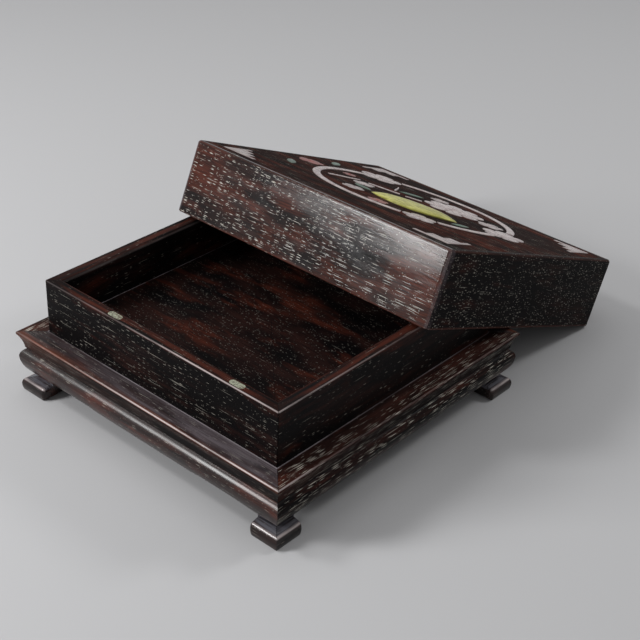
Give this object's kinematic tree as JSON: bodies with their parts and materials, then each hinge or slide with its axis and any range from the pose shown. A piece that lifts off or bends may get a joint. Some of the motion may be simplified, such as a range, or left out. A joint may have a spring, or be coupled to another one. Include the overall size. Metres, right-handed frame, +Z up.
{
  "type": "ink stick and stone box",
  "caption": "Square hardwood tray box on a moulded plinth with bracket feet, its deep inlaid lid taken off and leaning on the rim; for keeping an ink stick and ink stone.",
  "frame": {"origin": "on the ground, under the middle of the box and its leaning lid together", "axes": "+Z up; +X to the right seen from the front; +Y from the front wall with the pegs towards the leaning lid"},
  "size_m": [0.1836, 0.282, 0.1048],
  "materials": {
    "tray_wood": "waxed, open pored",
    "floor_wood": "satin wax",
    "plinth_wood": "waxed, open pored",
    "lid_wood": "waxed, open pored",
    "lid_top_wood": "satin wax",
    "key_wood": "plain",
    "pale_peg": "polished bone",
    "pearl_shell": "polished mother of pearl",
    "yellow_stone": "polished stone",
    "coral_red": "polished coral red stone",
    "green_stone": "polished green stone"
  },
  "bodies": {
    "box": {"tray_front_wall": "tray_wood", "tray_right_wall": "tray_wood", "tray_back_wall": "tray_wood", "tray_left_wall": "tray_wood", "tray_floor": "floor_wood", "left_rim_peg": "pale_peg", "right_rim_peg": "pale_peg", "ledge_front": "plinth_wood", "ledge_right": "plinth_wood", "ledge_back": "plinth_wood", "ledge_left": "plinth_wood", "apron_front": "plinth_wood", "apron_right": "plinth_wood", "apron_back": "plinth_wood", "apron_left": "plinth_wood", "front_left_foot_front_wing": "plinth_wood", "front_right_foot_front_wing": "plinth_wood", "front_right_foot_right_wing": "plinth_wood", "back_right_foot_right_wing": "plinth_wood", "back_right_foot_back_wing": "plinth_wood", "back_left_foot_back_wing": "plinth_wood", "back_left_foot_left_wing": "plinth_wood", "front_left_foot_left_wing": "plinth_wood", "tray_mitre_keys": "key_wood", "ledge_mitre_keys": "key_wood", "apron_mitre_keys": "key_wood", "foot_dowels": "key_wood"},
    "lid": {"lid_front_wall": "lid_wood", "lid_right_wall": "lid_wood", "lid_back_wall": "lid_wood", "lid_left_wall": "lid_wood", "lid_top_panel": "lid_top_wood", "lid_mitre_keys": "key_wood", "inlay_ring": "pearl_shell", "inlay_blossoms": "pearl_shell", "inlay_broad_leaf": "yellow_stone", "inlay_coral_buds": "coral_red", "inlay_small_leaves": "green_stone", "inlay_twigs": "pearl_shell", "inlay_corner_pieces": "pearl_shell"}
  },
  "joints": [
    {"name": "lid_lift", "type": "slide", "parent": "box", "child": "lid", "axis": [0, 0, 1], "range_m": [0, 0.12]}
  ]
}
